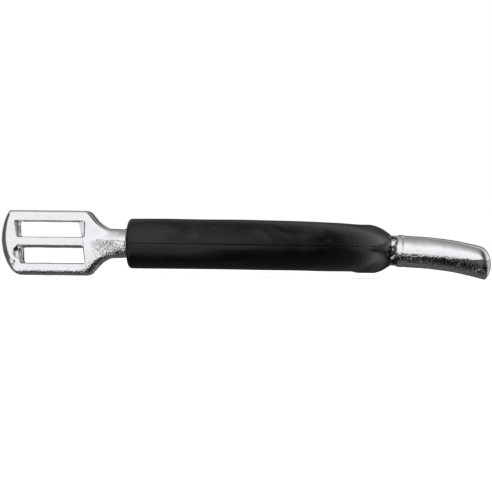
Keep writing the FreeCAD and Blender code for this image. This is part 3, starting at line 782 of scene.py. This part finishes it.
def cover_radius(run, angle):
    """Radius at a run along the cover and an angle round it: 0 is outward, 90 degrees is up."""
    radius = COVER_RADIUS + 0 * run + 0 * angle
    for face in (0.0, math.pi):
        off = np.angle(np.exp(1j * (angle - face))) * (1 if face == 0 else -1)
        line = 0.045 * np.clip((np.abs(run) - 25) / 40, 0, 1)
        shown = np.clip((np.abs(run) - 12) / 25, 0, 1)
        ridge = bead(off, line, BEAD_HIGH, BEAD_WIDE)
        groove = bead(off, line - GROOVE_OFF, GROOVE_DEEP, GROOVE_WIDE)
        radius = radius + shown * (ridge - groove)
    back = BOW_X + BOW_RADIUS * np.cos(np.clip(run / BOW_RADIUS, -2, 2))
    above, below = np.clip(np.sin(angle), 0, 1), np.clip(-np.sin(angle), 0, 1)
    radius = radius + 0.06 + 0.09 * above ** 1.5
    radius = radius - TOP_SAG * above ** 1.5 * np.clip((back + 5) / 34, 0, 1) ** 2.2
    radius = radius + LOW_SWELL * below ** 1.5 * np.clip((back + 20) / 46, 0, 1) ** 1.5
    crown = 1 / (1 + np.exp((np.abs(run) - CROWN_STEP_RUN) / 0.2))
    radius = radius + CROWN_STEP_HIGH * crown * below ** 5
    lumps = 0.035 * np.sin(0.21 * run + 1.3) * np.sin(2 * angle + 0.06 * run)
    lumps = lumps + 0.025 * np.sin(0.37 * run + 0.4) * np.sin(3 * angle + 1.0)
    return radius + lumps


# %% Rings of the outer skin and of the tunnel
STEP_AT_CROWN, STEP_AT_NECK, STEP_ELSEWHERE = 0.16, 0.3, 0.8


def ring_angles():
    """Angles round the cover, closer together at the two mould lines."""
    fine = np.arange(-7, 8) * 0.0125
    coarse = np.linspace(0.12, math.pi - 0.12, 54)
    first = np.concatenate([fine, coarse])
    return np.concatenate([first, first + math.pi])


def ring_runs():
    """Runs of the rings from one mouth to the other."""
    half = [0.0]
    while half[-1] < HALF_RUN - LIP - 0.6:
        near_step = abs(half[-1] - CROWN_STEP_RUN) < 1.2
        near_neck = half[-1] < 6.0
        step = STEP_AT_CROWN if near_step else STEP_AT_NECK if near_neck else STEP_ELSEWHERE
        half.append(half[-1] + step)
    half = half[:-1] + [HALF_RUN - LIP]
    return np.array([-r for r in reversed(half[1:])] + half)


ANGLES = ring_angles()
RUNS = ring_runs()
print("rings:", len(RUNS), "points round:", len(ANGLES))


def ring_at(run, radii):
    """One ring of points, square to the bent line at a run, with a radius at each angle."""
    place, ahead = bow_line(run + 0 * ANGLES)
    out = np.stack([ahead[:, 1], -ahead[:, 0], 0 * ANGLES], -1)
    return (place + (radii * np.cos(ANGLES))[:, None] * out
            + (radii * np.sin(ANGLES))[:, None] * np.array([0, 0, 1.0]))


# %% Loft the rings: skin, lip, tunnel, lip
FLASH_ANGLE, FLASH_LONG, FLASH_WIDE = 1.50, 1.0, 0.11
TUNNEL_ROUND, TUNNEL_START = 0.35, 1.4


def lip_rings(end):
    """The rounded lip at a mouth, from the outer skin to the tunnel; the left one has a little flash."""
    sign = 1 if end > 0 else -1
    edge = cover_radius(np.array(end - sign * LIP), ANGLES)
    rings = []
    for turn in np.linspace(0, math.pi / 2, 8)[1:]:
        rings.append((end - sign * LIP * (1 - math.sin(turn)), edge - LIP * (1 - math.cos(turn))))
    face = rings[-1][1]
    flash = bead(ANGLES, FLASH_ANGLE, FLASH_LONG if end < 0 else 0.0, FLASH_WIDE)
    for share in (0.35, 0.7, 0.85):
        rings.append((end + sign * flash * share ** 3, face + (BAR_RADIUS + TUNNEL_ROUND - face) * share))
    for turn in np.linspace(0, math.pi / 2, 5):
        back = TUNNEL_ROUND * (1 - math.cos(turn))
        inner = BAR_RADIUS + TUNNEL_ROUND * (1 - math.sin(turn))
        rings.append((end + sign * (flash - back), 0 * edge + inner))
    rings.append((end - sign * TUNNEL_START, 0 * edge + BAR_RADIUS))
    return rings


profile = [(run, cover_radius(np.array(run), ANGLES)) for run in RUNS]
profile += lip_rings(HALF_RUN)
profile += [(run, 0 * ANGLES + BAR_RADIUS) for run in np.linspace(HALF_RUN - 2, 2 - HALF_RUN, 90)]
profile += list(reversed(lip_rings(-HALF_RUN)))
rings = np.array([ring_at(run, radii) for run, radii in profile])
count, around = rings.shape[:2]
print("lofted rings:", count)

# %% [markdown]
# The boss round the neck is drawn out of the same skin: near the crown, the outward
# half of the tube is blended into a short collar that hugs the neck, with a soft fillet
# where it leaves the tube. Only points of the outer skin move.

# %% Pull the boss out of the skin
BOSS_DROP = 0.97
BOSS_WIDE = [0.0, 3.80, 3.96, 4.12, 4.32, 4.66, 5.00, 5.30, 5.60, 5.85, 6.05, 6.25, 6.60]
BOSS_BACK = [6.05, 6.05, 5.98, 5.78, 5.45, 4.93, 4.42, 3.85, 3.15, 2.30, 1.20, -0.5, -4.0]
BOSS_FILLET = 0.8


def pull_boss(points):
    """Draw the points near the crown out to the collar's profile."""
    away = np.hypot(points[..., 1], points[..., 2] - (MID_HIGH - BOSS_DROP))
    boss = CROWN_X + np.interp(away, BOSS_WIDE, BOSS_BACK)
    moved = points.copy()
    outer = points[..., 0] > CROWN_X - 0.5
    moved[..., 0] = np.where(outer, soft_most(points[..., 0], boss, BOSS_FILLET), points[..., 0])
    return moved


rings[:len(RUNS)] = pull_boss(rings[:len(RUNS)])
print("boss reaches x", rings[:len(RUNS), :, 0].max().round(2))

# %% Join the rings into one closed skin
points = rings.reshape(-1, 3)
first = np.arange(count)[:, None] * around + np.arange(around)
after = np.roll(first, -1, 0)
faces = np.stack([first, after, np.roll(after, -1, 1), np.roll(first, -1, 1)], -1).reshape(-1, 4)
rubber_cover = make_piece("rubber_cover_moulded", points, faces, black_rubber)
print("cover box, mm:", points.min(0).round(2), points.max(0).round(2))

# %% [markdown]
# ## Ride and replace
#
# Each new mesh stands for one CAD part. It rides on the one body and hides that part.

# %% Tie the pieces to the frame
for piece, stands_for, finish in (
        (strap_end_left, "strap_end_left", "bright_steel"),
        (strap_end_right, "strap_end_right", "bright_steel"),
        (neck, "neck", "bright_steel"),
        (rubber_cover, "rubber_cover", "black_rubber")):
    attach(piece, "root")
    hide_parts(stands_for)
    print("placed", piece.name)

# %% [markdown]
# ## Floor, light and camera
#
# The floor is a wide plain sheet, nearly white. Polished metal shows whatever stands
# round it, so the studio matters more than the lamps: the world is white to the camera,
# even for soft light, and for reflections it is a set of broad cards.

# %% Lay the floor
FLOOR_HALF = 8.0
floor_mesh = bpy.data.meshes.new("floor")
floor_mesh.from_pydata([(x * FLOOR_HALF, y * FLOOR_HALF, 0) for x, y in ((-1, -1), (1, -1), (1, 1), (-1, 1))],
                       [], [(0, 1, 2, 3)])
floor = bpy.data.objects.new("floor", floor_mesh)
floor.location.z = min(CAD_LOW.z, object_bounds()[0].z)
bpy.context.scene.collection.objects.link(floor)
floor_paint, tree, shader, where = new_finish("floor_paint")
shader.inputs["Roughness"].default_value = 0.9
shader.inputs["Specular IOR Level"].default_value = 0.0
tree.links.new(blend_colour(tree, noise(tree, where, 60.0), (0.93, 0.93, 0.93, 1), (0.95, 0.95, 0.95, 1)),
               shader.inputs["Base Color"])
floor_mesh.materials.append(floor_paint)
floor.visible_glossy = False
print("floor", 2 * FLOOR_HALF, "m wide")

# %% [markdown]
# The cards are laid out by how high a direction points, measured round the spur's long
# axis from straight ahead of its left side: bright ahead, dark just below, grey
# overhead, and bright again behind. Directions that point forward and down see the
# cards much further round, the more the further they point forward, and those that
# point to the rear and up see them a little further round. That keeps the bright band
# on the arm and on the neck where it belongs.

# %% Lay the cards round the long axis
CARDS = ((-180, 0.80), (-156, 0.66), (-144, 0.11), (-112, 0.10), (-90, 0.14), (-82, 0.12), (-72, 0.02),
         (-27, 0.02), (-22, 0.25), (-14, 0.88), (10, 0.96), (34, 1.0), (46, 0.92), (60, 0.72), (74, 0.57),
         (87, 0.45), (108, 0.33), (132, 0.24), (146, 0.50), (180, 0.80))
LEFT_SHIFT, RIGHT_SHIFT = math.radians(112), math.radians(90)

world = bpy.data.worlds.new("studio")
bpy.context.scene.world = world
world.use_nodes = True
tree = world.node_tree
tree.nodes.clear()
output = tree.nodes.new("ShaderNodeOutputWorld")
way = node(tree, "ShaderNodeSeparateXYZ", Vector=tree.nodes.new("ShaderNodeTexCoord").outputs["Generated"])
way_x, way_z = way.outputs["X"], way.outputs["Z"]
ahead = sums(tree, "MULTIPLY", way.outputs["Y"], -1.0)
lift = sums(tree, "ARCTAN2", way_z, ahead)

leftward = sums(tree, "MULTIPLY", sums(tree, "MINIMUM", way_x, 0.0), ranged(tree, ahead, -0.3, 0.2, 0.0, 1.0))
leftward = sums(tree, "MULTIPLY", leftward, ranged(tree, way_z, -0.3, 0.0, 1.0, 0.0))
rightward = sums(tree, "MINIMUM", sums(tree, "MAXIMUM", way_x, 0.0), 0.2)
rightward = sums(tree, "MULTIPLY", rightward, ranged(tree, way_z, 0.0, 0.3, 0.0, 1.0))
lift = sums(tree, "SUBTRACT", lift, sums(tree, "MULTIPLY", leftward, LEFT_SHIFT))
lift = sums(tree, "ADD", lift, sums(tree, "MULTIPLY", rightward, RIGHT_SHIFT))

place = sums(tree, "ADD", sums(tree, "MULTIPLY", lift, 1 / (2 * math.pi)), 0.5, True)
cards = node(tree, "ShaderNodeValToRGB", i0=place)
cards.color_ramp.interpolation = "LINEAR"
for angle, level in CARDS[1:-1]:
    cards.color_ramp.elements.new(angle / 360 + 0.5)
for stop, (angle, level) in zip(cards.color_ramp.elements, CARDS):
    stop.color = (level, level, level * 1.01, 1)
print("studio cards:", len(CARDS))

# %% [markdown]
# Three more changes are laid over the cards. A dark card far in front of the toe draws
# the edge of the bowed tips. The light falls off towards the rear, so that the back of
# the rubber goes dark. A dark card on the far side outlines the upper edges.

# %% Add the side cards, and join the studio up
def grey(level):
    """An even grey as a colour."""
    return (level, level, level, 1)


low_side = sums(tree, "ABSOLUTE", way_z, 0.0)
tip_card = sums(tree, "MULTIPLY", ranged(tree, sums(tree, "MULTIPLY", way_x, -1.0), 0.48, 0.86, 0, 1),
                ranged(tree, low_side, 0.34, 0.46, 1, 0))
reflected = blend_colour(tree, tip_card, cards.outputs["Color"], grey(0.09))

dimmed = blend_colour(tree, ranged(tree, way_z, -0.1, 0.2, 0.55, 0.82), reflected, grey(0))
rear_side = sums(tree, "MULTIPLY", ranged(tree, way_x, 0.20, 0.65, 0, 1),
                 ranged(tree, ahead, -0.45, 0.0, 0, 1))
reflected = blend_colour(tree, rear_side, reflected, dimmed)

far_card = blend_colour(tree, ranged(tree, way_z, -0.06, 0.06, 0, 1), grey(0.10), grey(0.07))
far_share = sums(tree, "MULTIPLY", ranged(tree, ahead, -0.90, -0.72, 1, 0),
                 ranged(tree, way_x, -0.35, -0.20, 0, 1))
far_share = sums(tree, "MULTIPLY", far_share, ranged(tree, way_x, 0.35, 0.50, 1, 0))
reflected = blend_colour(tree, far_share, reflected, far_card)

rays = tree.nodes.new("ShaderNodeLightPath")
seen = blend_colour(tree, rays.outputs["Is Glossy Ray"], grey(0.95), reflected)
seen = blend_colour(tree, rays.outputs["Is Camera Ray"], seen, grey(1))
studio = node(tree, "ShaderNodeBackground", Color=seen, Strength=1.0)
tree.links.new(studio.outputs["Background"], output.inputs["Surface"])
print("studio nodes:", len(tree.nodes))

# %% Hang one broad lamp
lamp_data = bpy.data.lights.new("broad_lamp", "SUN")
lamp_data.energy = 1.2
lamp_data.angle = math.radians(50)
lamp = bpy.data.objects.new("broad_lamp", lamp_data)
lamp.rotation_euler = (math.radians(35), math.radians(-12), 0)
lamp.visible_glossy = False
bpy.context.scene.collection.objects.link(lamp)
print("lamp energy:", lamp_data.energy)

# %% [markdown]
# ## The camera
#
# A very long lens flattens the view, so that the strap end and the neck are seen at the
# same scale, almost as in a drawing. The camera stands far to the left side of the spur,
# level with the band, and is rolled by about half a degree.

# %% Stand the camera
AIM_X, AIM_Z, HALF_VIEW, ROLL = -0.26, 7.95, 63.08, math.radians(0.58)
SENSOR_WIDE, LENS = 36, 1500
camera_data = bpy.data.cameras.new("camera")
camera_data.sensor_width = SENSOR_WIDE
camera_data.lens = LENS
camera_data.clip_start = 0.1
camera_data.clip_end = 40
distance = HALF_VIEW * MM * LENS / (SENSOR_WIDE / 2)
camera = bpy.data.objects.new("camera", camera_data)
camera.matrix_world = (Matrix.Translation((AIM_X * MM, -distance, AIM_Z * MM))
                       @ Matrix.Rotation(math.radians(90), 4, "X") @ Matrix.Rotation(ROLL, 4, "Z"))
bpy.context.scene.collection.objects.link(camera)
bpy.context.scene.camera = camera
bpy.context.scene.view_settings.view_transform = "Standard"
print(f"camera {distance:.2f} m away")
